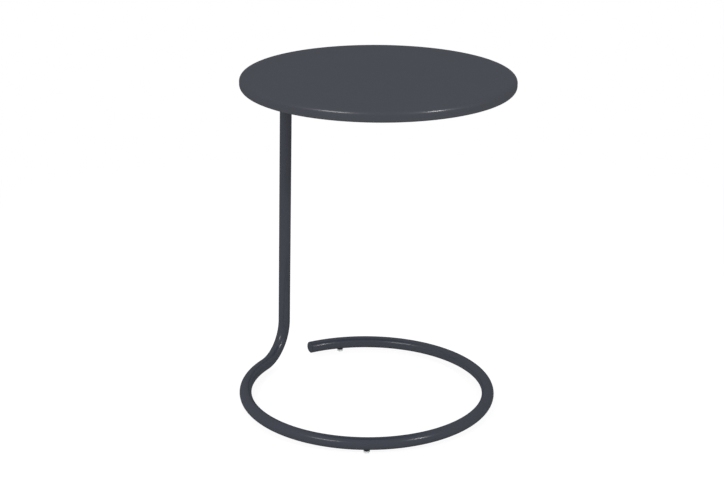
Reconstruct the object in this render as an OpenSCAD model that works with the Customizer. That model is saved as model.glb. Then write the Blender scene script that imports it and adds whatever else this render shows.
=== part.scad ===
// Round garden side table on one bent tube.
// The tube rises as a post at the back left and lies on the floor as an open ring.
// Millimetres. +Z is up and the front is -Y.
// The origin is on the floor, under the middle of the footprint.

/* [Overall] */
// Height of the table surface above the floor
table_h = 490; // [460:1:540]
// Diameter of the round top
top_d = 400; // [360:1:440]

/* [Table top] */
// Thickness of the top's sheet metal
sheet_t = 1.5; // [1:0.1:2]
// Height of the rolled rim
rim_h = 18; // [16:0.5:22]
// Outside radius of the rim's upper shoulder
shoulder_r = 7.2; // [4:0.1:8]
// Outside radius of the roll at the foot of the rim
roll_r = 7; // [4:0.1:8]
// Width of the lip that returns inwards under the rim
lip_w = 5; // [3:0.5:8]

/* [Tube] */
// Outside diameter of the tube
tube_d = 18; // [16:0.5:20]
// Wall thickness of the tube
tube_wall = 1.5; // [1:0.1:2]
// Radius of the ring, from its centre to the tube's centreline
ring_r = 182.5; // [170:0.5:195]
// Bearing on the ring at which the tube lifts off into the post
lift_angle = 150.5; // [140:0.5:160]
// Bearing on the ring of the free end of the tube
end_angle = 119.5; // [112:0.5:124]
// Centreline radius of the bend from the ring up into the post
bend_r = 56; // [50:1:75]
// How far the bend and the post tip from plumb towards the inside of the ring
post_tip = 1.2; // [0:0.1:3]

/* [Place of the top] */
// Distance from the edge of the top to the head of the post
post_inset = 35; // [24:0.5:40]
// Bearing from the head of the post to the centre of the top
top_bearing = -34; // [-50:0.5:-25]

/* [Free end of the tube] */
// How far the crown of the end cap stands out of the tube
cap_rise = 4; // [3.8:0.1:6]
// Radius of the end cap's rounded edge
cap_edge_r = 3; // [1.5:0.1:3.4]
// Length of the spigot that holds the cap in the tube
cap_spigot_l = 10; // [6:0.5:16]

/* [Fixing under the top] */
// Thickness of the doubler plate welded under the sheet
doubler_t = 2; // [1:0.1:3]
// Width of the doubler plate
doubler_w = 90; // [80:1:110]
// How far the doubler plate reaches inwards from the post
doubler_reach = 160; // [146:1:190]
// Thickness of the mounting plate on the post
plate_t = 4; // [3:0.5:5]
// Width of the mounting plate
plate_w = 66; // [60:1:76]
// How far the mounting plate reaches inwards from the post
plate_reach = 136; // [124:1:142]
// Radius of the corners of both plates
plate_corner_r = 12; // [6:0.5:16]
// Distance from the shoulder of the rim to the outer end of both plates
plate_setback = 2; // [1:0.5:4]
// Diameter of the weld studs
stud_d = 6; // [5:0.5:8]
// Distance from the post to the nearer row of studs
stud_first = 28; // [26:1:32]
// Distance between the two rows of studs
stud_pitch_l = 85; // [70:1:90]
// Distance between the two studs in a row
stud_pitch_w = 40; // [36:1:44]
// Length of stud that shows below its nut
stud_tail = 1.5; // [0.5:0.1:2]
// Size across the flats of the flange nuts
nut_af = 10; // [9:0.5:12]
// Height of the flange nuts
nut_h = 6; // [5:0.5:7]
// Diameter of the flange on a nut
nut_flange_d = 14.2; // [13:0.1:16]
// Thickness of the flange on a nut
nut_flange_t = 1.4; // [1:0.1:2]
// Leg of the fillet weld round the top of the post
weld_leg = 3.5; // [2:0.1:4]
// Thickness of the weld at its two edges
weld_edge_t = 0.3; // [0.2:0.05:0.5]

/* [Glides] */
// Angle between neighbouring glides, which start from the front of the ring
glide_step = 96.75; // [92:0.25:99]
// Diameter of a glide's collar where it meets the tube
collar_d = 10.6; // [9:0.1:12]
// Diameter of the collar at its underside
collar_foot_d = 8.8; // [8.4:0.1:9]
// How far the collar stands below the tube
collar_drop = 1.4; // [1:0.1:2.5]
// Diameter of the pad under a glide
pad_d = 9.2; // [8:0.1:10]
// Thickness of the pad below the collar
pad_t = 3.1; // [2:0.1:4]
// Radius of the rounded lower edge of the pad
pad_edge_r = 0.8; // [0.3:0.1:1]
// Diameter of the peg that holds the pad in the collar
pad_peg_d = 3; // [2:0.1:3.4]
// Length of the pad's peg
pad_peg_l = 2; // [1:0.1:3]
// Diameter of the hole in the tube for a glide's stem
glide_hole_d = 5.6; // [5:0.1:6]
// How far the glide's snap head is wider than its hole
snap_rise = 0.9; // [0.5:0.1:1.2]
// Height of the glide's snap head
snap_h = 2.4; // [1.5:0.1:3]

/* [Fits] */
// Play of the studs in the holes of the mounting plate, in radius
bolt_play = 0.3; // [0.2:0.05:0.5]
// Gap between a stud and the bore of its nut, in radius
thread_gap = 0.1; // [0.05:0.01:0.2]
// Gap left round push-in plugs and pegs, in radius
plug_gap = 0.1; // [0.05:0.01:0.2]

/* [Hidden] */
$fn = 96;

coat = [0.29, 0.302, 0.329];
zinc = [0.72, 0.73, 0.75];
black = [0.1, 0.13, 0.15];
clear_pale = [0.86, 0.9, 0.88, 0.7];
over = 1; // overshoot of a cut past the face that it opens

tube_r = tube_d / 2;
bore_r = tube_r - tube_wall;
top_r = top_d / 2;

// Heights
ring_z = pad_t + collar_drop + tube_r;
sheet_under_z = table_h - sheet_t;
doubler_under_z = sheet_under_z - doubler_t;
plate_under_z = doubler_under_z - plate_t;
post_rise = plate_under_z - ring_z;

// Plan of the tube, from the centre of the ring
lift_bearing = lift_angle - 90;
tip = acos(round(1e6 * cos(post_tip)) / 1e6); // its cosine has six digits, so the tube's runs meet exactly
post_l = post_rise / cos(tip) - bend_r;
head_r = ring_r - post_rise * tan(tip); // from the ring's centre to the bend's plane at the head
head_from_ring_x = head_r * cos(lift_angle) + bend_r * cos(lift_bearing);
head_from_ring_y = head_r * sin(lift_angle) + bend_r * sin(lift_bearing);
post_to_top = top_r - post_inset;
top_from_ring_x = head_from_ring_x + post_to_top * cos(top_bearing);
top_from_ring_y = head_from_ring_y + post_to_top * sin(top_bearing);

// The middle of the footprint, from the centre of the ring
ring_out_r = ring_r + tube_r;
mid_x = (min(-ring_out_r, top_from_ring_x - top_r) + max(ring_out_r, top_from_ring_x + top_r)) / 2;
mid_y = (min(-ring_out_r, top_from_ring_y - top_r) + max(ring_out_r, top_from_ring_y + top_r)) / 2;
ring_at = [-mid_x, -mid_y, ring_z];
head_at = [head_from_ring_x - mid_x, head_from_ring_y - mid_y, plate_under_z];
top_at = [top_from_ring_x - mid_x, top_from_ring_y - mid_y, 0];

// Reach of both plates towards the rim, from the centre of the top
plate_rim_r = top_r - shoulder_r - plate_setback;

stud_l = doubler_under_z - plate_under_z + nut_h + stud_tail;
stud_hole_d = stud_d + 2 * bolt_play;
stud_chamfer = 0.8;
glide_bearings = [-90, -90 + glide_step, -90 + 2 * glide_step, -90 - glide_step];

// Outline of a rim section: flat above, rounded shoulder and roll, from the axis to the radius r
module rim_section(r, h, upper_r, lower_r) {
  translate([0, lower_r - h]) square([r - upper_r, h - lower_r]);
  translate([0, lower_r - h]) square([r, h - lower_r - upper_r]);
  translate([0, -h]) square([r - lower_r, h - upper_r]);
  translate([r - upper_r, -upper_r]) circle(r = upper_r);
  translate([r - lower_r, lower_r - h]) circle(r = lower_r);
}

// One sheet, formed down at its edge and rolled in under itself
module table_top() {
  mouth_r = top_r - roll_r - lip_w;
  color(coat)
  translate([top_at.x, top_at.y, table_h])
  rotate_extrude()
  difference() {
    rim_section(top_r, rim_h, shoulder_r, roll_r);
    translate([0, -sheet_t])
    rim_section(top_r - sheet_t, rim_h - 2 * sheet_t, shoulder_r - sheet_t, roll_r - sheet_t);
    translate([0, -rim_h - over]) square([mouth_r, rim_h + over - sheet_t]);
  }
}

// Rectangle with round corners, from x0 to x1 and centred on the X axis
module rounded_bar(x0, x1, w, r) {
  translate([x0 + r, -w / 2]) square([x1 - x0 - 2 * r, w]);
  translate([x0, r - w / 2]) square([x1 - x0, w - 2 * r]);
  for (x = [x0 + r, x1 - r], y = [r - w / 2, w / 2 - r])
    translate([x, y]) circle(r = r);
}

// Outline of a plate under the top: its outer end follows the rim
module plate_outline(reach, w) {
  intersection() {
    rounded_bar(-plate_rim_r - plate_corner_r * 2, reach - post_to_top, w, plate_corner_r);
    circle(r = plate_rim_r);
  }
}

// Places its children with +X pointing from the post to the centre of the top, which is the origin
module in_top_frame(z) {
  translate([top_at.x, top_at.y, z]) rotate([0, 0, top_bearing]) children();
}

// Repeats its children at the four studs
module at_studs(z) {
  in_top_frame(z)
  for (row = [0, 1], side = [-1, 1])
    translate([stud_first + row * stud_pitch_l - post_to_top, side * stud_pitch_w / 2, 0]) children();
}

module doubler_plate() {
  color(coat)
  in_top_frame(doubler_under_z)
  linear_extrude(height = doubler_t)
  plate_outline(doubler_reach, doubler_w);
}

module weld_studs() {
  color(zinc)
  at_studs(doubler_under_z - stud_l) {
    cylinder(h = stud_chamfer, d1 = stud_d - 2 * stud_chamfer, d2 = stud_d);
    translate([0, 0, stud_chamfer]) cylinder(h = stud_l - stud_chamfer, d = stud_d);
  }
}

module mounting_plate() {
  color(coat)
  difference() {
    in_top_frame(plate_under_z)
    linear_extrude(height = plate_t)
    plate_outline(plate_reach, plate_w);
    at_studs(plate_under_z - over) cylinder(h = plate_t + 2 * over, d = stud_hole_d);
  }
}

module flange_nuts() {
  color(zinc)
  at_studs(plate_under_z - nut_h)
  difference() {
    union() {
      cylinder(h = nut_h, d = nut_af / cos(30), $fn = 6);
      translate([0, 0, nut_h - nut_flange_t]) cylinder(h = nut_flange_t, d = nut_flange_d);
    }
    translate([0, 0, -over]) cylinder(h = nut_h + 2 * over, d = stud_d + 2 * thread_gap);
  }
}

// Places its children at the lift-off point, tipped with the bend: +Z runs up the post
module at_lift_off() {
  translate(ring_at) rotate([0, 0, lift_angle]) translate([ring_r, 0, 0]) rotate([0, -tip, 0]) children();
}

// The straight post drawn at a section radius, past its head so that it can be cut level
module post_run(r) {
  at_lift_off()
  translate([0, -bend_r, bend_r])
  cylinder(h = post_l + tube_d, r = r);
}

// Hollow fillet between the leaning post and the mounting plate
module post_weld() {
  color(coat)
  difference() {
    translate(head_at)
    rotate_extrude()
    difference() {
      translate([tube_r - over, -weld_leg]) square([weld_leg + over, weld_leg]);
      translate([tube_r + weld_leg + weld_edge_t, -weld_leg - weld_edge_t]) circle(r = weld_leg);
    }
    post_run(tube_r);
  }
}

// Centreline of the tube drawn at a section radius: ring, bend and post meet without a kink
module tube_run(r) {
  translate(ring_at)
  rotate([0, 0, lift_angle])
  rotate_extrude(angle = 360 + end_angle - lift_angle)
  translate([ring_r, 0])
  circle(r = r);
  at_lift_off()
  translate([0, 0, bend_r])
  rotate([0, 90, 0])
  rotate([0, 0, -90])
  rotate_extrude(angle = 90)
  translate([bend_r, 0])
  circle(r = r);
  post_run(r);
}

// Turns its children to a bearing on the ring, at the ring's centreline
module on_ring(bearing) {
  translate(ring_at) rotate([0, 0, bearing]) translate([ring_r, 0, 0]) children();
}

module tube_frame() {
  color(coat)
  difference() {
    tube_run(tube_r);
    tube_run(bore_r);
    translate(head_at) cylinder(h = 2 * tube_d, r = tube_d);
    for (a = glide_bearings)
      on_ring(a) translate([0, 0, -tube_r - over]) cylinder(h = tube_r + over, d = glide_hole_d);
  }
}

// Half section of the cap's head: an edge arc that runs on smoothly into a low dome
module cap_head_section() {
  edge_x = tube_r - cap_edge_r;
  dome_r = (pow(edge_x, 2) + pow(cap_rise, 2) - pow(cap_edge_r, 2)) / (2 * (cap_rise - cap_edge_r));
  tangent_x = edge_x * dome_r / (dome_r - cap_edge_r);
  intersection() {
    square([tube_r, cap_rise]);
    union() {
      translate([edge_x, 0]) circle(r = cap_edge_r);
      intersection() {
        translate([0, cap_rise - dome_r]) circle(r = dome_r);
        square([tangent_x, cap_rise]);
      }
    }
  }
}

// Cap on the free end of the tube, with a spigot that follows the curve of the bore
module tube_end_cap() {
  spigot_angle = cap_spigot_l / ring_r * 180 / PI;
  root_angle = cap_rise / 4 / ring_r * 180 / PI;
  color(coat)
  translate(ring_at) rotate([0, 0, end_angle]) {
    translate([ring_r, 0, 0])
    rotate([-90, 0, 0])
    rotate_extrude()
    cap_head_section();
    rotate([0, 0, -spigot_angle])
    rotate_extrude(angle = spigot_angle + root_angle)
    translate([ring_r, 0])
    circle(r = bore_r - plug_gap);
  }
}

// Collar that fits the underside of the tube, with a stem that snaps into the hole
module glide(bearing) {
  stem_r = glide_hole_d / 2 - plug_gap;
  snap_r = glide_hole_d / 2 + snap_rise;
  // height at which the curve of the bore lets the snap head pass
  snap_z = plug_gap - sqrt(pow(bore_r, 2) - pow(snap_r, 2));
  collar_z = -tube_r - collar_drop;
  // height at which the edge of the collar meets the side of the tube
  edge_z = -sqrt(pow(tube_r, 2) - pow(collar_d / 2, 2));
  color(black)
  on_ring(bearing)
  difference() {
    union() {
      difference() {
        translate([0, 0, collar_z]) cylinder(h = edge_z - collar_z, d1 = collar_foot_d, d2 = collar_d);
        translate([-ring_r, 0, 0]) rotate_extrude() translate([ring_r, 0]) circle(r = tube_r);
      }
      translate([0, 0, collar_z]) cylinder(h = snap_z - collar_z, r = stem_r);
      translate([0, 0, snap_z]) cylinder(h = snap_h, r1 = snap_r, r2 = stem_r - snap_rise);
    }
    translate([0, 0, collar_z - over])
    cylinder(h = over + pad_peg_l + plug_gap, d = pad_peg_d + 2 * plug_gap);
  }
}

// Translucent pad, pegged into the collar, that stands on the floor
module pad(bearing) {
  color(clear_pale)
  on_ring(bearing)
  translate([0, 0, -ring_z]) {
    rotate_extrude() {
      translate([0, pad_edge_r]) square([pad_d / 2, pad_t - pad_edge_r]);
      square([pad_d / 2 - pad_edge_r, pad_t]);
      translate([pad_d / 2 - pad_edge_r, pad_edge_r]) circle(r = pad_edge_r);
    }
    cylinder(h = pad_t + pad_peg_l, d = pad_peg_d);
  }
}

table_top();
doubler_plate();
weld_studs();
mounting_plate();
flange_nuts();
post_weld();
tube_frame();
tube_end_cap();
glide(glide_bearings[0]);  // glide_front
glide(glide_bearings[1]);  // glide_right
glide(glide_bearings[2]);  // glide_back
glide(glide_bearings[3]);  // glide_left
pad(glide_bearings[0]);  // pad_front
pad(glide_bearings[1]);  // pad_right
pad(glide_bearings[2]);  // pad_back
pad(glide_bearings[3]);  // pad_left
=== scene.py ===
# %% [markdown]
# # A round garden side table on one bent tube
#
# The table is a pressed steel disc on a single steel tube. The tube stands up as a post at the back left,
# bends at its foot and lies on the floor as an open ring. All its steel that shows is painted with one
# anthracite powder coat, and it stands on four small glides.
#
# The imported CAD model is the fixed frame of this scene: it says where each piece is, and nothing here
# moves it. A solid model has razor-sharp corners and plain faces, so the lesson builds the visible pieces
# again at the same places with the small things that light picks up, such as rolled edges, weld ripples
# and threads.

import math

import bmesh
import bpy
from mathutils import Matrix, Vector


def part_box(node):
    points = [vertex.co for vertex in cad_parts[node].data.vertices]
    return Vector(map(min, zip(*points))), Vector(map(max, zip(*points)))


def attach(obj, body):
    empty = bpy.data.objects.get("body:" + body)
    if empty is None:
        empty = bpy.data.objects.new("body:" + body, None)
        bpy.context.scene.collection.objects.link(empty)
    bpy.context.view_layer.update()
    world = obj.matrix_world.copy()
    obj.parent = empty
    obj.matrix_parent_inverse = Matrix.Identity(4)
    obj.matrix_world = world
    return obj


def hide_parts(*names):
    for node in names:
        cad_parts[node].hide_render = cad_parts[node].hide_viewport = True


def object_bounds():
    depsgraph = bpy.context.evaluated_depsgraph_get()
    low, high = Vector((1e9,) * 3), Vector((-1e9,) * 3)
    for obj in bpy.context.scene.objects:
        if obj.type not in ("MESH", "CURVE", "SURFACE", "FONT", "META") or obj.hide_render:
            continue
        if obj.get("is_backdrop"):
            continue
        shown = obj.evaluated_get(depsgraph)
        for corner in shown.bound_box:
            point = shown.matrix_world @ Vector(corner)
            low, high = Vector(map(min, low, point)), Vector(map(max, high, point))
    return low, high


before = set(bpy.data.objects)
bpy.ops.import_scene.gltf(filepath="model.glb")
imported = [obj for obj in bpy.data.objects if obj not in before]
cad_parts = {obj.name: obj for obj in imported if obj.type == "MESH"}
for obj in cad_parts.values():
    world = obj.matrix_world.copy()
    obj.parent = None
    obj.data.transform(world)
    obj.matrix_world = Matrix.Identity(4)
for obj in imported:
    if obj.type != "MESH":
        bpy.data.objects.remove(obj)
cad_box = [list(corner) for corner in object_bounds()]
print("CAD nodes:", len(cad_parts))
print("CAD box in metres:", cad_box)

# %% [markdown]
# ## The sizes that everything else follows
#
# A sheet-metal worker would describe this table with a handful of numbers: the tube, the ring, the bend,
# and the radii that the press leaves at the rim. They repeat the part's own dimensions, in metres. The
# two angles say where the tube lifts off the floor and where its free end is, counted round the ring.

# %% Driving sizes
MM = 0.001

SHEET = 1.5 * MM
RIM_HEIGHT = 18 * MM
SHOULDER_RADIUS = 7.2 * MM
ROLL_RADIUS = 7 * MM
LIP_WIDTH = 5 * MM

TUBE_RADIUS = 9 * MM
TUBE_WALL = 1.5 * MM
RING_RADIUS = 182.5 * MM
LIFT_ANGLE = math.radians(150.5)
END_ANGLE = math.radians(119.5)
BEND_RADIUS = 56 * MM
POST_TIP = math.radians(1.2)

print("Gap in the ring, degrees:", round(math.degrees(LIFT_ANGLE - END_ANGLE), 1))

# %% [markdown]
# ## Where the pieces are
#
# Places could be typed in as numbers, but then a piece can drift away from its solid. So they are read
# from the frame. The weld runs round the head of the post, so the middle of its box is the post's axis.
# From there the middle of the ring is found: back along the bend, in by the ring's radius, and out again
# by as much as the leaning post comes in between the floor and the top.

# %% Places from the frame
UP = Vector((0, 0, 1))


def compass(angle):
    """The level direction at an angle from the x axis."""
    return Vector((math.cos(angle), math.sin(angle), 0))


def middle(node):
    """The middle of a CAD node's box."""
    low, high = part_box(node)
    return (Vector(low) + Vector(high)) / 2


def bottom(node):
    """The height of a CAD node's lowest point."""
    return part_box(node)[0][2]


def top(node):
    """The height of a CAD node's highest point."""
    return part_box(node)[1][2]


table_middle = middle("table_top")
table_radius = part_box("table_top")[1][0] - table_middle.x
post_head = middle("post_weld")
ring_outwards = compass(LIFT_ANGLE)
lift_direction = ring_outwards.cross(UP)
ring_height = bottom("tube_frame") + TUBE_RADIUS
head_shift = (top("tube_frame") - ring_height) * math.tan(POST_TIP)
ring_middle = post_head - BEND_RADIUS * lift_direction - (RING_RADIUS - head_shift) * ring_outwards
ring_middle.z = ring_height
print("Middle of the ring, mm:", [round(x / MM, 2) for x in ring_middle])
print("Middle of the top, mm:", [round(x / MM, 2) for x in table_middle])
print("Radius of the top, mm:", round(table_radius / MM, 2))

# %% [markdown]
# ## The camera
#
# The outline in the photograph gives the camera: a long lens, about 2.3 m in front of the ring and a
# metre above it, tilted down by a little under 20 degrees. The picture is also turned by about a third of
# a degree. The lens is given as its focal length in pixels of a picture 724 wide, because that is what a
# fit of the outline yields.

# %% Camera
PHOTO_WIDTH = 724
FOCAL_LENGTH_PX = 1640.1
SENSOR_WIDTH_MM = 36
CAMERA_TILT = math.radians(19.564)
CAMERA_ROLL = math.radians(0.29)
CAMERA_FROM_RING = Vector((-8.12, -2260.57, 1039.99)) * MM

camera_data = bpy.data.cameras.new("photo_camera")
camera_data.sensor_width = SENSOR_WIDTH_MM
camera_data.lens = SENSOR_WIDTH_MM * FOCAL_LENGTH_PX / PHOTO_WIDTH
camera = bpy.data.objects.new("photo_camera", camera_data)
bpy.context.scene.collection.objects.link(camera)
aim = Matrix.Rotation(math.pi / 2 - CAMERA_TILT, 4, "X") @ Matrix.Rotation(CAMERA_ROLL, 4, "Z")
camera.matrix_world = Matrix.Translation(ring_middle + CAMERA_FROM_RING) @ aim
bpy.context.scene.camera = camera
print("Lens, mm:", round(camera_data.lens, 1))

# %% [markdown]
# ## Writing shaders as sums
#
# A node tree is easier to read as arithmetic than as a list of links. One small class stands for a socket
# that gives a value. Adding or multiplying two of them adds the node that does it: a Math node for
# numbers, and a Mix node for colours, because Math would turn a colour grey. Any other node comes from
# one method: first its type, then its settings, then what goes into its sockets. A Mix node has a set of
# sockets for each kind of value, and its colour sockets are found by number.

# %% Sockets that can be added and multiplied
COLOUR_A, COLOUR_B, COLOUR_OUT = 6, 7, 2


class Wire:
    """An output socket of a node tree."""

    def __init__(self, tree, socket):
        self.tree = tree
        self.socket = socket

    @classmethod
    def node(cls, tree, kind, settings=None, sockets=None, output=0):
        """Adds a node with its settings, fills its sockets, and gives one of its outputs."""
        made = tree.nodes.new(kind)
        for name, value in (settings or {}).items():
            setattr(made, name, value)
        for name, value in (sockets or {}).items():
            if isinstance(value, Wire):
                tree.links.new(value.socket, made.inputs[name])
            else:
                made.inputs[name].default_value = value
        return None if output is None else cls(tree, made.outputs[output])

    @staticmethod
    def is_colour(value):
        return isinstance(value, tuple) or (isinstance(value, Wire) and value.socket.type == "RGBA")

    def combine(self, operation, first, second):
        """Adds the node that works out one operation on two values."""
        if self.is_colour(first) or self.is_colour(second):
            settings = {"data_type": "RGBA", "blend_type": operation}
            sockets = {0: 1, COLOUR_A: first, COLOUR_B: second}
            return self.node(self.tree, "ShaderNodeMix", settings, sockets, COLOUR_OUT)
        return self.node(self.tree, "ShaderNodeMath", {"operation": operation}, {0: first, 1: second})

    def __add__(self, other):
        return self.combine("ADD", self, other)

    def __radd__(self, other):
        return self.combine("ADD", other, self)

    def __sub__(self, other):
        return self.combine("SUBTRACT", self, other)

    def __rsub__(self, other):
        return self.combine("SUBTRACT", other, self)

    def __mul__(self, other):
        return self.combine("MULTIPLY", self, other)

    def __rmul__(self, other):
        return self.combine("MULTIPLY", other, self)


def grey(level):
    """A grey, or white at 1, as the light value that shaders work in."""
    return (level, level, level, 1.0)


def linear(red, green, blue):
    """A colour as a screen shows it, from 0 to 255, as the light value that shaders work in."""
    shares = [c / 255 for c in (red, green, blue)]
    light = [s / 12.92 if s <= 0.04045 else ((s + 0.055) / 1.055) ** 2.4 for s in shares]
    return (*light, 1.0)


print("Grey 77 on a screen as light:", round(linear(77, 77, 77)[0], 4))

# %% [markdown]
# ## Steps that every finish shares
#
# A real surface is never one even colour or perfectly smooth, and its flaws have a size. A texture could
# be painted, but noise worked out from the place on the piece has no seams and keeps its scale in metres
# on every piece. The same noise that varies the colour or the gloss can stand as a height for the bumps.

# %% Noise, bumps and mixed shaders
def new_tree(name):
    """An empty material and its node tree."""
    material = bpy.data.materials.new(name)
    material.use_nodes = True
    material.node_tree.nodes.clear()
    return material, material.node_tree


def place_on_piece(tree):
    """The place on the piece itself, in metres."""
    return Wire.node(tree, "ShaderNodeTexCoord", {}, {}, "Object")


def noise(tree, place, per_metre, detail=2.0):
    """Soft random values from 0 to 1 whose bumps are about one part in per_metre across."""
    sockets = {"Vector": place, "Scale": per_metre, "Detail": detail, "Roughness": 0.5}
    return Wire.node(tree, "ShaderNodeTexNoise", {}, sockets)


def relief(tree, height, depth):
    """Turns a height from 0 to 1 into a normal, for bumps that are depth metres tall."""
    return Wire.node(tree, "ShaderNodeBump", {}, {"Height": height, "Distance": depth, "Strength": 1.0})


def plain_shader(tree, sockets):
    """The shader that nearly every finish starts from."""
    return Wire.node(tree, "ShaderNodeBsdfPrincipled", {}, sockets)


def mixed(tree, share, first, second):
    """The first shader with a share of the second."""
    return Wire.node(tree, "ShaderNodeMixShader", {}, {0: share, 1: first, 2: second})


def show(tree, shader):
    """Makes a shader the material's surface."""
    Wire.node(tree, "ShaderNodeOutputMaterial", {}, {"Surface": shader}, None)


steps = (new_tree, place_on_piece, noise, relief, plain_shader, mixed, show)
print("Steps for every finish:", [step.__name__ for step in steps])

# %% [markdown]
# ## The powder coat
#
# Powder coat is sprayed on dry and melts into a skin about 0.1 mm thick. Seen close, the skin has a soft
# orange peel a few millimetres across and a much finer grain on top of it. In the photograph the paint is
# nearly matt: the top has no glare although the camera looks across it, yet both lamps draw short crisp
# streaks on the rim and the tube. One glossy layer can't do both, because its glare grows at a flat
# angle. So the coat is a matt shader with the colour, under thin shares of two mirrors that are the same
# at every angle. The satin one, the skin, draws the streaks. The hazy one spreads a faint sheen along the
# rounded rim between them. The rim shows both more strongly than the tube, so the sheet has the larger
# shares and a darker colour. Under the top the skin is duller, as less powder reaches there.

# %% Powder coat
MATT_ROUGHNESS = 0.5
HAZE_ROUGHNESS = 0.5
ROUGHNESS_SPREAD = 0.06
PEEL_PER_METRE = 380
PEEL_DEPTH = 0.0025 * MM
PEEL_SHARE = 0.8
GRAIN_PER_METRE = 2600
MOTTLE_PER_METRE = 22
DARKEST_SHADE = 0.8
MOTTLE_SHADE = 0.12
GRAIN_SHADE = 0.28


def mirror(tree, roughness, normal):
    """A white mirror that is blurred by its roughness."""
    return plain_shader(tree, {
        "Base Color": grey(1.0),
        "Metallic": 1.0,
        "Roughness": roughness,
        "Normal": normal,
    })


def powder_coat(name, colour, skin_share, haze_share, skin_roughness):
    """Anthracite powder coat: matt colour under a little haze and a thin satin skin."""
    material, tree = new_tree(name)
    place = place_on_piece(tree)
    mottle = noise(tree, place, MOTTLE_PER_METRE, detail=3.0)
    grain = noise(tree, place, GRAIN_PER_METRE)
    peel = noise(tree, place, PEEL_PER_METRE)
    normal = relief(tree, PEEL_SHARE * peel + (1 - PEEL_SHARE) * grain, PEEL_DEPTH)
    matt = plain_shader(tree, {
        "Base Color": (DARKEST_SHADE + MOTTLE_SHADE * mottle + GRAIN_SHADE * grain) * colour,
        "Roughness": MATT_ROUGHNESS,
        "Specular IOR Level": 0.0,
        "Normal": normal,
    })
    haze = mirror(tree, HAZE_ROUGHNESS, normal)
    skin = mirror(tree, skin_roughness - ROUGHNESS_SPREAD / 2 + ROUGHNESS_SPREAD * grain, normal)
    show(tree, mixed(tree, skin_share, mixed(tree, haze_share, matt, haze), skin))
    return material


coat_top = powder_coat(
    "coat_on_sheet", linear(38, 43.5, 55), skin_share=0.034, haze_share=0.016, skin_roughness=0.23)
coat_tube = powder_coat(
    "coat_on_tube", linear(56, 60, 69.5), skin_share=0.018, haze_share=0.002, skin_roughness=0.21)
coat_under = powder_coat(
    "coat_underneath", linear(60, 63, 71), skin_share=0.018, haze_share=0.002, skin_roughness=0.4)
print("Coats:", coat_top.name, coat_tube.name, coat_under.name)
print("Orange peel, mm across:", round(1 / PEEL_PER_METRE / MM, 1))

# %% [markdown]
# ## The small finishes
#
# The studs and nuts under the top are bright zinc plate: a metal with a faint cloudy film that the
# plating bath leaves. The glides are two mouldings. The collar is black plastic with the dull, finely
# pitted skin of an eroded mould. The pad under it is a soft clear plastic. Clear glass would be the wrong
# start for it, as it looks pale because it scatters the light inside, so half of it is subsurface light.

# %% Zinc, black plastic and clear plastic
def zinc_plate():
    """Bright zinc plating with a cloudy film."""
    material, tree = new_tree("bright_zinc")
    place = place_on_piece(tree)
    film = noise(tree, place, per_metre=160, detail=4.0)
    scuffs = noise(tree, place, per_metre=3800)
    show(tree, plain_shader(tree, {
        "Base Color": (0.86 + 0.12 * film) * linear(206, 209, 212),
        "Metallic": 1.0,
        "Roughness": 0.24 + 0.16 * film,
        "Normal": relief(tree, scuffs, depth=0.008 * MM),
    }))
    return material


def black_plastic():
    """Black moulded plastic with an eroded skin."""
    material, tree = new_tree("black_plastic")
    pits = noise(tree, place_on_piece(tree), per_metre=4200, detail=3.0)
    show(tree, plain_shader(tree, {
        "Base Color": (0.85 + 0.3 * pits) * linear(17, 22, 26),
        "Roughness": 0.46 + 0.12 * pits,
        "Specular IOR Level": 0.2,
        "Normal": relief(tree, pits, depth=0.02 * MM),
    }))
    return material


def clear_plastic():
    """Soft clear plastic, cloudy with scattered light."""
    material, tree = new_tree("clear_plastic")
    clouds = noise(tree, place_on_piece(tree), per_metre=700, detail=3.0)
    show(tree, plain_shader(tree, {
        "Base Color": (0.96 + 0.06 * clouds) * linear(243, 248, 246),
        "Roughness": 0.3 + 0.12 * clouds,
        "IOR": 1.46,
        "Transmission Weight": 0.1,
        "Subsurface Weight": 0.5,
        "Subsurface Radius": (1.0, 1.0, 1.0),
        "Subsurface Scale": 2 * MM,
        "Normal": relief(tree, clouds, depth=0.01 * MM),
    }))
    return material


zinc = zinc_plate()
black = black_plastic()
clear = clear_plastic()
print("Small finishes:", zinc.name, black.name, clear.name)

# %% [markdown]
# ## One helper for every skin
#
# Each piece of this table can be drawn as rings of points: a tube is a row of circles along its path, a
# disc is a row of circles from its middle to its rim, and a thread is a row of circles with a groove that
# climbs. So one helper joins rings of points with four-sided faces, and closes the first and the last
# ring with a flat face or joins them to each other. Every mesh is closed that way. Smooth shading is kept
# to edges that turn by less than about a third of a right angle.

# %% Rings of points to a piece
SHARP_ANGLE = math.radians(32)


def add_skin(shape, rings, loop):
    """Joins rings of points in a bmesh, and closes the two ends or joins them to each other."""
    rows = [[shape.verts.new(point) for point in ring] for ring in rings]
    around = len(rows[0])
    pairs = list(zip(rows, rows[1:]))
    if loop:
        pairs.append((rows[-1], rows[0]))
    for row, after in pairs:
        for i in range(around):
            j = (i + 1) % around
            shape.faces.new((row[i], row[j], after[j], after[i]))
    if not loop:
        shape.faces.new(reversed(rows[0]))
        shape.faces.new(rows[-1])


def piece_from_rings(name, skins, material, node, loop=False):
    """Builds one piece of the table from the rings of its skins, and lets it stand for a CAD node."""
    shape = bmesh.new()
    for rings in skins:
        add_skin(shape, rings, loop)
    bmesh.ops.recalc_face_normals(shape, faces=shape.faces)
    mesh = bpy.data.meshes.new(name)
    shape.to_mesh(mesh)
    shape.free()
    for face in mesh.polygons:
        face.use_smooth = True
    mesh.set_sharp_from_angle(angle=SHARP_ANGLE)
    mesh.materials.append(material)
    piece = bpy.data.objects.new(name, mesh)
    bpy.context.scene.collection.objects.link(piece)
    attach(piece, "root")
    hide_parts(node)
    print(f"{name}: {len(mesh.vertices)} points, {len(mesh.polygons)} faces")


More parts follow.
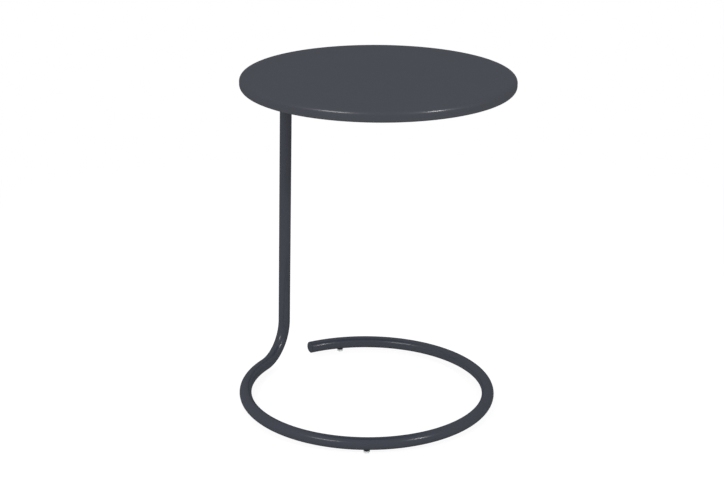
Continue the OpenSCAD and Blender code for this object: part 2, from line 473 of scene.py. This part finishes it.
print("Corners stay sharp from, degrees:", round(math.degrees(SHARP_ANGLE)))

# %% [markdown]
# ## Profiles and turned shapes
#
# The pressed disc, the collars and the pads are all round, so a profile drawn on paper and turned about
# an upright axis gives them. A profile is a list of points, each with its distance from the axis and its
# height. Its rounded corners are arcs, and the steps of an arc are given one by one, because a large arc
# needs more of them than a small one to look round. Where a profile starts or ends on the axis, it stops
# at a tiny ring, which the helper closes with one flat face.

# %% Arcs and turned rings
CENTRE_RADIUS = 0.3 * MM


def arc(middle_r, middle_z, radius, start, end, steps):
    """Points on an arc of a profile, as (distance from the axis, height), with angles in degrees."""
    points = []
    for i in range(steps + 1):
        angle = math.radians(start + (end - start) * i / steps)
        points.append((middle_r + radius * math.cos(angle), middle_z + radius * math.sin(angle)))
    return points


def full_turn(around):
    """The angles of the points of a ring."""
    return [2 * math.pi * i / around for i in range(around)]


def turned(profile, axis, around):
    """Rings of points for a profile turned round an upright axis."""
    return [[axis + r * compass(angle) + z * UP for angle in full_turn(around)] for r, z in profile]


quarter = arc(0, 0, 1, 0, 90, 3)
print("A quarter circle in 3 steps:", [(round(r, 2), round(z, 2)) for r, z in quarter])

# %% [markdown]
# ## The top
#
# The real top is one disc of steel sheet. A press folds its edge down over a rounded shoulder, and rolls
# the foot of that rim in under itself, so nobody meets a cut edge. Seen from below it is an open tray
# with a lip. A solid disc would look the same from above and wrong from every low angle, so the profile
# here follows the sheet: out along the top face, round the shoulder and the roll, and back inside at one
# sheet's thickness. Narrow rings next to the shoulder keep its curve from shading the flat face.

# %% Top sheet
AROUND_TOP = 288
FLAT_RADII = [x * MM for x in (4, 20, 50, 90, 130, 165, 185)]
GAPS_TO_SHOULDER = [2 * MM, 0.5 * MM]
SHOULDER_STEPS = 18
ROLL_STEPS = 16
LIP_STEPS = 8


def sheet_side(inset):
    """One side of the sheet, from the flat face to the lip, as far inside the outer face as inset."""
    shoulder = table_radius - SHOULDER_RADIUS
    roll = table_radius - ROLL_RADIUS
    points = [(r, -inset) for r in FLAT_RADII]
    points += [(shoulder - gap, -inset) for gap in GAPS_TO_SHOULDER]
    points += arc(shoulder, -SHOULDER_RADIUS, SHOULDER_RADIUS - inset, 90, 0, SHOULDER_STEPS)
    points += arc(roll, ROLL_RADIUS - RIM_HEIGHT, ROLL_RADIUS - inset, 0, -90, ROLL_STEPS)
    return points


lip_r = table_radius - ROLL_RADIUS - LIP_WIDTH
lip = arc(lip_r, SHEET / 2 - RIM_HEIGHT, SHEET / 2, -90, -270, LIP_STEPS)
sheet_profile = sheet_side(0) + lip + sheet_side(SHEET)[::-1]
surface_point = Vector((table_middle.x, table_middle.y, top("table_top")))
top_rings = turned(sheet_profile, surface_point, AROUND_TOP)
piece_from_rings("top_sheet", [top_rings], coat_top, "table_top")

# %% [markdown]
# ## The path of the bent tube
#
# One length of steel tube makes the whole frame. A roller bends the ring, and a bending machine turns its
# last stretch up into the post. The path is therefore three pieces that meet without a kink: an arc on
# the floor, a quarter circle and a straight line. The post leans inwards by a little over a degree,
# because the tube gives under the top, so the plane of the bend is tipped about the line where the tube
# lifts off. At each point of the path the tube's circle needs two directions to be drawn in. One of them
# stays square to the plane of its own piece, so the circle never twists. At the head of the post the last
# circle is drawn level, as the tube is cut. A tight bend also flattens a round tube a little across the
# bend, which shows as a slightly softer highlight.

# %% Path of the tube
RING_STEP = math.radians(1.5)
BEND_STEPS = 36
POST_STEPS = 12
BEND_FLATTENING = 0.015


def on_ring(angle):
    """A point of the ring's centreline, with the level direction away from the ring's middle."""
    return ring_middle + RING_RADIUS * compass(angle), compass(angle)


def tube_stations():
    """Points along the tube's centre as (place, level direction, other direction, flattening)."""
    stations = []
    full_circle_on = LIFT_ANGLE - 2 * math.pi
    count = round((END_ANGLE - full_circle_on) / RING_STEP)
    for i in range(count + 1):
        place, outwards = on_ring(END_ANGLE + (full_circle_on - END_ANGLE) * i / count)
        stations.append((place, outwards, UP, 0))
    lift = stations[-1][0]
    up_post = math.cos(POST_TIP) * UP - math.sin(POST_TIP) * ring_outwards
    aside = math.cos(POST_TIP) * ring_outwards + math.sin(POST_TIP) * UP
    for i in range(1, BEND_STEPS + 1):
        angle = math.pi / 2 * i / BEND_STEPS
        place = lift + BEND_RADIUS * (math.sin(angle) * lift_direction + (1 - math.cos(angle)) * up_post)
        across = math.cos(angle) * up_post - math.sin(angle) * lift_direction
        stations.append((place, aside, across, BEND_FLATTENING * math.sin(2 * angle) ** 2))
    foot = stations[-1][0]
    head = Vector((post_head.x, post_head.y, top("tube_frame")))
    for i in range(1, POST_STEPS):
        stations.append((foot.lerp(head, i / POST_STEPS), aside, -lift_direction, 0))
    stations.append((head, ring_outwards / math.cos(POST_TIP), -lift_direction, 0))
    return stations


stations = tube_stations()
path_length = sum((b[0] - a[0]).length for a, b in zip(stations, stations[1:]))
print("Length of the tube, m:", round(path_length, 3))

# %% [markdown]
# ## The wall of the tube
#
# Blender can turn a curve into a tube by itself, but not into one with a wall, with a level cut at its
# head and with a bend that is a little flat. So the rings are set up here at each point of the path, once
# for the outside and once, on the way back, for the bore. Joined in a loop they make one closed wall.

# %% Bent tube
AROUND_TUBE = 64


def tube_rings(stations, radius):
    """Rings of points square to the tube's path, at one radius."""
    rings = []
    for place, level, across, flattening in stations:
        ring = []
        for a in full_turn(AROUND_TUBE):
            ring.append(place + radius * (math.cos(a) * level + (1 - flattening) * math.sin(a) * across))
        rings.append(ring)
    return rings


outer_wall = tube_rings(stations, TUBE_RADIUS)
bore = tube_rings(stations, TUBE_RADIUS - TUBE_WALL)
wall = outer_wall + bore[::-1]
piece_from_rings("bent_tube", [wall], coat_tube, "tube_frame", loop=True)

# %% [markdown]
# ## The domed end
#
# The free end of the tube is closed by a pressed cap, painted with the tube. It sits where the solid's
# does, and its spigot is in the bore. In the photograph its outline is low and round, with no edge. A
# squashed ball comes close, but it is too full at the shoulder. So the section of the head is a quarter
# of an ellipse that is drawn in there: in its equation, the powers of 2 are 1.8. A fine joint is left
# between the cap and the tube, as the paint bridges it without filling it, so the cap reads as its own
# piece.

# %% Tube cap
CAP_RISE = 3.3 * MM
CAP_ROUNDNESS = 1.8
CAP_DOME_STEPS = 22
CAP_DOME_FROM = 8
CAP_DOME_TO = 88
CAP_SPIGOT = 10 * MM
CAP_JOINT = 0.25 * MM
SPIGOT_PLAY = 0.1 * MM
SPIGOT_STEPS = 6


def cap_profile():
    """The cap's head as (distance from the tube's axis, height above the tube's end)."""
    profile = [(TUBE_RADIUS - 2 * CAP_JOINT, 0), (TUBE_RADIUS - CAP_JOINT, CAP_JOINT / 2)]
    for i in range(CAP_DOME_STEPS + 1):
        turn = math.radians(CAP_DOME_FROM + (CAP_DOME_TO - CAP_DOME_FROM) * i / CAP_DOME_STEPS)
        r = TUBE_RADIUS * math.cos(turn) ** (2 / CAP_ROUNDNESS)
        profile.append((r, CAP_RISE * math.sin(turn) ** (2 / CAP_ROUNDNESS)))
    return profile


def cap_rings():
    """Rings of the spigot, which follows the bore, and then of the head."""
    rings = []
    for i in range(SPIGOT_STEPS + 1):
        place, outwards = on_ring(END_ANGLE - CAP_SPIGOT / RING_RADIUS * (1 - i / SPIGOT_STEPS))
        rings += tube_rings([(place, outwards, UP, 0)], TUBE_RADIUS - TUBE_WALL - SPIGOT_PLAY)
    place, outwards = on_ring(END_ANGLE)
    ahead = UP.cross(outwards)
    for r, height in cap_profile():
        rings += tube_rings([(place + height * ahead, outwards, UP, 0)], r)
    return rings


piece_from_rings("tube_cap", [cap_rings()], coat_tube, "tube_end_cap")

# %% [markdown]
# ## The weld at the head of the post
#
# A welder runs one bead round the tube where it meets the mounting plate. The bead cools in overlapping
# scales, a little over two millimetres apart. A shader bump would do for a distant view, but the scales
# also show on the outline of the bead, so they are in the mesh: the bead swells and shrinks along the
# seam, and each scale leans forward in the middle. The section is a corner bead, slightly hollow at 45
# degrees, and it starts a little inside the tube and the plate, so that no gap shows.

# %% Weld bead
WELD_LEG = 3.4 * MM
WELD_SINK = 0.3 * MM
WELD_SCALES = 28
WELD_STEPS = 336
WELD_ACROSS = 12
SCALE_LEAN = 0.35
SCALE_LOW = 0.8
SCALE_SWELL = 0.12
SCALE_SHARPNESS = 0.7
WELD_HOLLOW = 0.72


def weld_ring(around):
    """The section of the bead at one angle round the post."""
    outwards = compass(around)
    plate_point = Vector((post_head.x, post_head.y, bottom("mounting_plate")))
    corner = plate_point + (TUBE_RADIUS - WELD_SINK) * outwards
    ring = [corner + WELD_SINK * UP]
    for j in range(WELD_ACROSS + 1):
        share = j / WELD_ACROSS
        angle = math.pi / 2 * share
        phase = (around * WELD_SCALES / (2 * math.pi) + SCALE_LEAN * math.sin(math.pi * share)) % 1.0
        reach = WELD_LEG * (SCALE_LOW + SCALE_SWELL * math.sin(math.pi * phase) ** SCALE_SHARPNESS)
        reach *= WELD_HOLLOW + (1 - WELD_HOLLOW) * abs(math.cos(2 * angle))
        ring.append(corner + reach * (math.cos(angle) * outwards - math.sin(angle) * UP))
    return ring


weld_rings = [weld_ring(around) for around in full_turn(WELD_STEPS)]
piece_from_rings("weld_bead", [weld_rings], coat_under, "post_weld", loop=True)

# %% [markdown]
# ## The studs
#
# Four M6 studs are welded to the doubler plate, two by two along the line from the post to the middle of
# the top. A thread is a groove that climbs one pitch in each turn. A bump could draw it, but not on the
# stud's outline. So each ring of points is pushed in or out by how far it is from the crest at its own
# angle, and the rings follow each other in steps much finer than the pitch. The lower end is cut to a
# cone at 45 degrees, which lets a nut start.

# %% Studs
THREAD_PITCH = 1.0 * MM
THREAD_DEPTH = 0.6 * MM
STUD_RADIUS = 3 * MM
STUD_TIP_RADIUS = 2.22 * MM
AROUND_STUD = 32
RINGS_PER_PITCH = 8
STUD_ROW_GAP = 85 * MM
STUD_SIDE_GAP = 40 * MM
STUD_FIRST = 28 * MM


def stud_places():
    """The axes of the four studs, along the line from the post to the middle of the top."""
    along = (table_middle - post_head).to_2d().normalized().to_3d()
    across = UP.cross(along)
    places = []
    for reach in (STUD_FIRST, STUD_FIRST + STUD_ROW_GAP):
        for aside in (-STUD_SIDE_GAP / 2, STUD_SIDE_GAP / 2):
            places.append((post_head + reach * along + aside * across).to_2d().to_3d())
    return places


def thread_rings(axis, low, high):
    """Rings of a threaded rod, with a small cone at its lower end."""
    rings = []
    count = round((high - low) / THREAD_PITCH * RINGS_PER_PITCH)
    for i in range(count + 1):
        height = (high - low) * i / count
        ring = []
        for angle in full_turn(AROUND_STUD):
            phase = (height / THREAD_PITCH - angle / (2 * math.pi)) % 1.0
            groove = THREAD_DEPTH * abs(2 * phase - 1)
            radius = min(STUD_RADIUS - groove, STUD_TIP_RADIUS + height)
            ring.append(axis + radius * compass(angle) + (low + height) * UP)
        rings.append(ring)
    return rings


stud_axes = stud_places()
threads = [thread_rings(axis, bottom("weld_studs"), top("weld_studs")) for axis in stud_axes]
piece_from_rings("studs", threads, zinc, "weld_studs")

# %% [markdown]
# ## The flange nuts
#
# A flange nut on each stud holds the mounting plate. The nut is a hexagon whose corners are turned down
# to a cone at its free face, as on any nut from a bar, and its flange is round. A hexagon cut by a cone
# could be made with a boolean. Here each ring says how much of the hexagon's corners it keeps, from none
# to all, so the whole nut is one skin of even faces that ends in its bore.

# %% Flange nuts
NUT_FLAT_RADIUS = 5 * MM
NUT_FACE_RADIUS = 4.75 * MM
NUT_WAIST = 2 * MM
NUT_FLANGE = 1.4 * MM
NUT_FLANGE_RADIUS = 7.1 * MM
NUT_FLANGE_SLOPE = 1.0 * MM
NUT_BORE = 3.1 * MM
NUT_SINK = 0.5 * MM
AROUND_NUT = 96
HEXAGON_SIDE = math.pi / 3


def nut_profile(low, high):
    """A nut's section, as (height, radius, share of the corners): up its outside, down its bore."""
    return [
        (low, NUT_FACE_RADIUS, 0),
        (low + 0.12 * MM, NUT_FLAT_RADIUS, 0),
        (low + 0.5 * MM, NUT_FLAT_RADIUS, 0.7),
        (low + 0.9 * MM, NUT_FLAT_RADIUS, 1),
        (high - NUT_WAIST, NUT_FLAT_RADIUS, 1),
        (high - NUT_FLANGE, NUT_FLANGE_RADIUS - NUT_FLANGE_SLOPE, 0.1),
        (high - 0.5 * MM, NUT_FLANGE_RADIUS - 0.1 * MM, 0),
        (high - 0.3 * MM, NUT_FLANGE_RADIUS, 0),
        (high, NUT_FLANGE_RADIUS, 0),
        (high, NUT_BORE + NUT_SINK, 0),
        (high - NUT_SINK, NUT_BORE, 0),
        (low + NUT_SINK, NUT_BORE, 0),
        (low, NUT_BORE + NUT_SINK, 0),
    ]


def nut_rings(axis, low, high):
    """Rings of a flange nut for its axis and its two ends."""
    rings = []
    for z, radius, corners in nut_profile(low, high):
        ring = []
        for angle in full_turn(AROUND_NUT):
            from_flat = angle % HEXAGON_SIDE - HEXAGON_SIDE / 2
            corner = NUT_FLAT_RADIUS / math.cos(from_flat) - NUT_FLAT_RADIUS
            ring.append(axis + (radius + corners * corner) * compass(angle) + z * UP)
        rings.append(ring)
    return rings


nuts = [nut_rings(axis, bottom("flange_nuts"), top("flange_nuts")) for axis in stud_axes]
piece_from_rings("nuts", nuts, zinc, "flange_nuts", loop=True)

# %% [markdown]
# ## Plates straight from the CAD
#
# The two plates under the top already have the right shape, so their CAD nodes stay. A laser-cut plate is
# deburred before it is painted, so a bevel modifier rounds its corners without touching the node's own
# mesh. The frame's mesh is split along its corners and cut into thin triangles, which a bevel would fold
# over each other. So its points are welded and its flat faces joined first.

# %% Soften the corners of the plates
PLATE_CORNER = 0.4 * MM
CORNER_STEPS = 3
JOIN_DISTANCE = 0.002 * MM
FLAT_ANGLE = math.radians(0.5)


def soften(node):
    """Rounds a CAD node's corners with modifiers and paints it."""
    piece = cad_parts[node]
    weld = piece.modifiers.new("join_corners", "WELD")
    weld.merge_threshold = JOIN_DISTANCE
    flat = piece.modifiers.new("join_flat_faces", "DECIMATE")
    flat.decimate_type = "DISSOLVE"
    flat.angle_limit = FLAT_ANGLE
    bevel = piece.modifiers.new("round_corners", "BEVEL")
    bevel.width = PLATE_CORNER
    bevel.segments = CORNER_STEPS
    bevel.limit_method = "ANGLE"
    bevel.angle_limit = SHARP_ANGLE
    bevel.harden_normals = True
    for slot in piece.material_slots:
        slot.material = coat_under
    print("Softened:", node, "by modifiers", [modifier.name for modifier in piece.modifiers])


soften("doubler_plate")
soften("mounting_plate")

# %% [markdown]
# ## Where a collar meets the tube
#
# A collar is a turned plug whose top is not flat: it fits the round underside of the tube, high at its
# two sides and low along the tube. Cutting a plug with the tube by a boolean would give the same saddle,
# with slivers of faces along the cut. So the rings of its top take their height from the tube instead.
# For each direction round the collar, the tube's underside is as far below its centreline as a circle
# says, going by how far that point lies from the centreline in plan. The edge of the collar is where its
# tapered side meets that surface. It is found by trying: the tube's height at the last edge says where
# the side ends, and that is the next edge.

# %% Underside of the tube
COLLAR_FOOT = 4.4 * MM
COLLAR_RIM = 5.3 * MM
EDGE_TRIES = 8


def drop(radius, offset):
    """How far a circle of this radius lies below its middle, at an offset to the side."""
    return math.sqrt(radius ** 2 - offset ** 2)


def tube_underside(axis, angle, r):
    """Height of the tube's underside at a distance r from a collar's axis."""
    from_ring_middle = (axis + r * compass(angle) - ring_middle).to_2d().length
    return ring_height - drop(TUBE_RADIUS, from_ring_middle - RING_RADIUS)


def collar_edge(axis, angle, low):
    """Distance from the axis at which the collar's tapered side meets the tube."""
    taper = (COLLAR_RIM - COLLAR_FOOT) / (ring_height - drop(TUBE_RADIUS, COLLAR_RIM) - low)
    r = COLLAR_FOOT
    for i in range(EDGE_TRIES):
        r = COLLAR_FOOT + taper * (tube_underside(axis, angle, r) - low)
    return r


print("Depth of the saddle, mm:", round((TUBE_RADIUS - drop(TUBE_RADIUS, COLLAR_RIM)) / MM, 2))

# %% [markdown]
# ## The glide collars
#
# A collar is pushed into a hole in the underside of the ring. Its skin starts in the hole that takes the
# pad's peg, goes round its foot, up its tapered side and in over the saddle. Above it a stem passes
# through the hole in the tube and ends in a snap head, a cone that opens out again just inside the bore.

# %% Collars
COLLAR_CORNER = 0.2 * MM
COLLAR_CORNER_STEPS = 4
PEG_HOLE_RADIUS = 1.6 * MM
PEG_HOLE_TOP = 5.2 * MM
STEM_RADIUS = 2.7 * MM
SNAP_RADIUS = 3.7 * MM
SNAP_TIP = 1.8 * MM
SNAP_HEIGHT = 2.4 * MM
SNAP_ABOVE_BORE = 0.1 * MM
SADDLE_STEPS = 6
AROUND_COLLAR = 72


def saddle_rings(axis, low):
    """Rings from the collar's edge in to its stem, each point on the underside of the tube."""
    angles = full_turn(AROUND_COLLAR)
    edges = [collar_edge(axis, angle, low) for angle in angles]
    rings = []
    for i in range(SADDLE_STEPS + 1):
        ring = []
        for angle, edge in zip(angles, edges):
            r = edge + (STEM_RADIUS - edge) * i / SADDLE_STEPS
            ring.append(axis + r * compass(angle) + tube_underside(axis, angle, r) * UP)
        rings.append(ring)
    return rings


def collar_rings(axis, low):
    """Rings of a collar: out of its peg hole, up its side, in over the saddle and up the stem."""
    foot = [(CENTRE_RADIUS, PEG_HOLE_TOP), (PEG_HOLE_RADIUS, PEG_HOLE_TOP), (PEG_HOLE_RADIUS, low)]
    foot += arc(
        COLLAR_FOOT - COLLAR_CORNER, low + COLLAR_CORNER, COLLAR_CORNER, -90, 0, COLLAR_CORNER_STEPS)
    snap_low = ring_height - drop(TUBE_RADIUS - TUBE_WALL, SNAP_RADIUS) + SNAP_ABOVE_BORE
    head = [(STEM_RADIUS, snap_low), (SNAP_RADIUS, snap_low), (SNAP_TIP, snap_low + SNAP_HEIGHT)]
    return turned(foot, axis, AROUND_COLLAR) + saddle_rings(axis, low) + turned(head, axis, AROUND_COLLAR)


def floor_point(node):
    """The point of the floor under the middle of a CAD node."""
    place = middle(node)
    return Vector((place.x, place.y, 0))


sides = [name.removeprefix("glide_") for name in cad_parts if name.startswith("glide_")]
for side in sides:
    collar = f"glide_{side}"
    rings = collar_rings(floor_point(f"pad_{side}"), bottom(collar))
    piece_from_rings(f"collar_{side}", [rings], black, collar)

# %% [markdown]
# ## The pads
#
# Each pad is a small turned shape: a flat foot with a rounded edge, and a peg that sits in the collar. A
# plain disc would do for the little that shows beside the collar. The real one also has a shallow dish in
# the middle of its underside, where the mould's gate was, so that the trimmed sprue never touches the
# floor, and the dish shows from below.

# %% Pads
PAD_EDGE = 0.8 * MM
PAD_EDGE_STEPS = 8
PAD_CORNER = 0.2 * MM
PAD_CORNER_STEPS = 4
DISH_RADIUS = 1.6 * MM
DISH_SLOPE = 0.5 * MM
DISH_DEPTH = 0.35 * MM
PEG_RADIUS = 1.5 * MM
AROUND_PAD = 72


def pad_profile(radius, height, peg_top):
    """A pad as (distance from its axis, height above the floor), from the dish to the top of its peg."""
    dish = [(CENTRE_RADIUS, DISH_DEPTH), (DISH_RADIUS - DISH_SLOPE, DISH_DEPTH), (DISH_RADIUS, 0)]
    edge = arc(radius - PAD_EDGE, PAD_EDGE, PAD_EDGE, -90, 0, PAD_EDGE_STEPS)
    shoulder = arc(radius - PAD_CORNER, height - PAD_CORNER, PAD_CORNER, 0, 90, PAD_CORNER_STEPS)
    peg = [(PEG_RADIUS, height), (PEG_RADIUS, peg_top), (CENTRE_RADIUS, peg_top)]
    return dish + edge + shoulder + peg


for side in sides:
    pad = f"pad_{side}"
    low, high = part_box(pad)
    profile = pad_profile((high[0] - low[0]) / 2, bottom(f"glide_{side}"), high[2])
    rings = turned(profile, floor_point(pad), AROUND_PAD)
    piece_from_rings(f"foot_{side}", [rings], clear, pad)

# %% [markdown]
# ## The light of the room
#
# The photograph is cut out on pure white, and its light is simple: a pale room and two lamps. The room's
# own light comes from the greys of the paint. The flat top is as bright as the side of the rim, and the
# post is brightest on its left, so the light is strongest from behind, weak from the front and a little
# stronger from the left than from the right. A picture of a real room could light the scene, but it would
# bring colours and shapes of its own, and for nearly matt paint three numbers are enough.
#
# To the camera, in mirrors and in clear plastic the world is plain white. The levels above hold for its
# light only.

# %% World
ROOM_LIGHT = 0.71
BACK_WALL_LIGHT = 0.48
LEFT_WALL_LIGHT = 0.27


def seen_directly(tree):
    """1 for rays from the camera and for what mirrors and clear plastic show, and 0 for light."""
    from_camera, in_mirror, through_plastic = [
        Wire.node(tree, "ShaderNodeLightPath", {}, {}, ray)
        for ray in ("Is Camera Ray", "Is Glossy Ray", "Is Transmission Ray")
    ]
    total = from_camera + in_mirror + through_plastic
    return Wire.node(tree, "ShaderNodeMath", {"operation": "MINIMUM"}, {0: total, 1: 1.0})


world = bpy.data.worlds.new("white_room")
world.use_nodes = True
room = world.node_tree
room.nodes.clear()
way_out = Wire.node(room, "ShaderNodeTexCoord", {}, {}, "Generated")
to_the_right = Wire.node(room, "ShaderNodeSeparateXYZ", {}, {0: way_out}, "X")
backwards = Wire.node(room, "ShaderNodeSeparateXYZ", {}, {0: way_out}, "Y")
as_light = ROOM_LIGHT + BACK_WALL_LIGHT * backwards - LEFT_WALL_LIGHT * to_the_right
strength = as_light + (1 - as_light) * seen_directly(room)
walls = Wire.node(room, "ShaderNodeBackground", {}, {"Color": grey(1.0), "Strength": strength})
Wire.node(room, "ShaderNodeOutputWorld", {}, {"Surface": walls}, None)
bpy.context.scene.world = world
print("World light from the front:", round(ROOM_LIGHT - BACK_WALL_LIGHT, 2))
print("World light from behind:", round(ROOM_LIGHT + BACK_WALL_LIGHT, 2))

# %% [markdown]
# ## The floor
#
# A white floor under a light object is easy to get wrong: white paint throws too much light up, and left
# to the lamps alone it turns grey far away. So it has two looks. As light it is bright paint near the
# table and dull paint further out. What the camera sees of it is mostly an even glow, with just enough
# paint near the table to take a soft shadow, and a plain white further out, so no horizon shows.

# %% Paint of the floor
FLOOR_PAINT = 0.92
FAR_PAINT = 0.5
SHADOW_SHARE = 0.22
PAINT_GLOW = 0.88
SHADOW_FROM = 0.35
SHADOW_TO = 1.3

floor_material, floor_tree = new_tree("white_floor")


def paint(level):
    """Matt paint on the floor."""
    return Wire.node(floor_tree, "ShaderNodeBsdfDiffuse", {}, {"Color": grey(level)})


def glow(level):
    """Light that the floor gives off evenly."""
    return Wire.node(floor_tree, "ShaderNodeEmission", {}, {"Color": grey(1.0), "Strength": level})


floor_place = Wire.node(floor_tree, "ShaderNodeNewGeometry", {}, {}, "Position")
from_table = Wire.node(
    floor_tree, "ShaderNodeVectorMath", {"operation": "LENGTH"}, {0: floor_place}, "Value")
far = Wire.node(floor_tree, "ShaderNodeMapRange", {"interpolation_type": "SMOOTHSTEP"}, {
    "Value": from_table,
    "From Min": SHADOW_FROM,
    "From Max": SHADOW_TO,
})
lit = mixed(floor_tree, far, paint(FLOOR_PAINT), paint(FAR_PAINT))
shadow_taker = {0: paint(FLOOR_PAINT * SHADOW_SHARE), 1: glow(PAINT_GLOW)}
shadowed = Wire.node(floor_tree, "ShaderNodeAddShader", {}, shadow_taker)
shown = mixed(floor_tree, far, shadowed, glow(1.0))
show(floor_tree, mixed(floor_tree, seen_directly(floor_tree), lit, shown))
print("The floor's shadow fades out, m from the middle:", SHADOW_FROM, "to", SHADOW_TO)

# %% [markdown]
# ## The square of floor
#
# The floor itself is one square face at the height on which the pads stand. It is so large that its edge
# lies beyond what any view shows. It is staging and no part of the table, and the frame is told so.

# %% Floor
FLOOR_REACH = 30.0

floor_shape = bmesh.new()
corners = [(-1, -1), (1, -1), (1, 1), (-1, 1)]
floor_shape.faces.new([floor_shape.verts.new((FLOOR_REACH * x, FLOOR_REACH * y, 0)) for x, y in corners])
floor_mesh = bpy.data.meshes.new("floor")
floor_shape.to_mesh(floor_mesh)
floor_shape.free()
floor_mesh.materials.append(floor_material)
floor = bpy.data.objects.new("floor", floor_mesh)
bpy.context.scene.collection.objects.link(floor)
floor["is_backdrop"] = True
print("Side of the floor, m:", 2 * FLOOR_REACH)

# %% [markdown]
# ## The two lamps
#
# Two lamps stand in front of the table, one on each side and well over two metres high. Their places come
# from the streaks: on a round tube the streak is where the surface points halfway between the lamp and
# the camera. The streaks on the rim, on the front of the ring and on its back all agree on the same two
# lamps. Sun lamps or points would draw streaks with no width, so both are softboxes, the left one wide.
# The plain view transform comes with them, so that a colour renders about as it is written.

# %% Lamps
LAMP_DISTANCE = 4.0
AIM_HEIGHT = 20 * MM

lamp_aim = Vector((0, ring_middle.y - RING_RADIUS, AIM_HEIGHT))


def lamp(name, azimuth, elevation, width, height, level):
    """A softbox that faces the front of the ring. A white card there that faces it shows its level."""
    data = bpy.data.lights.new(name, "AREA")
    data.shape = "RECTANGLE"
    data.size = width
    data.size_y = height
    data.energy = level * (math.pi * LAMP_DISTANCE) ** 2
    level_way = compass(math.radians(azimuth - 90))
    rise = math.radians(elevation)
    towards = math.cos(rise) * level_way + math.sin(rise) * UP
    light = bpy.data.objects.new(name, data)
    light.location = lamp_aim + LAMP_DISTANCE * towards
    light.rotation_mode = "QUATERNION"
    light.rotation_quaternion = towards.to_track_quat("Z", "Y")
    light.visible_camera = False
    bpy.context.scene.collection.objects.link(light)
    print(name, [round(x, 2) for x in light.location], "power, W:", round(data.energy))


lamp("lamp_left", azimuth=-40, elevation=37, width=1.4, height=0.5, level=0.27)
lamp("lamp_right", azimuth=51, elevation=34, width=0.5, height=0.4, level=0.26)
bpy.context.scene.view_settings.view_transform = "Standard"

# %% [markdown]
# ## Close the scene
#
# The dressed table must be the size that the CAD says, so the last line prints how far its box differs
# from the CAD box printed at the start.

# %% Sizes and the end
visual_box = [list(corner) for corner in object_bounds()]
growth = [round((v - c) / MM, 3) for cad, seen in zip(cad_box, visual_box) for c, v in zip(cad, seen)]
print("Visual box minus CAD box, mm:", growth)
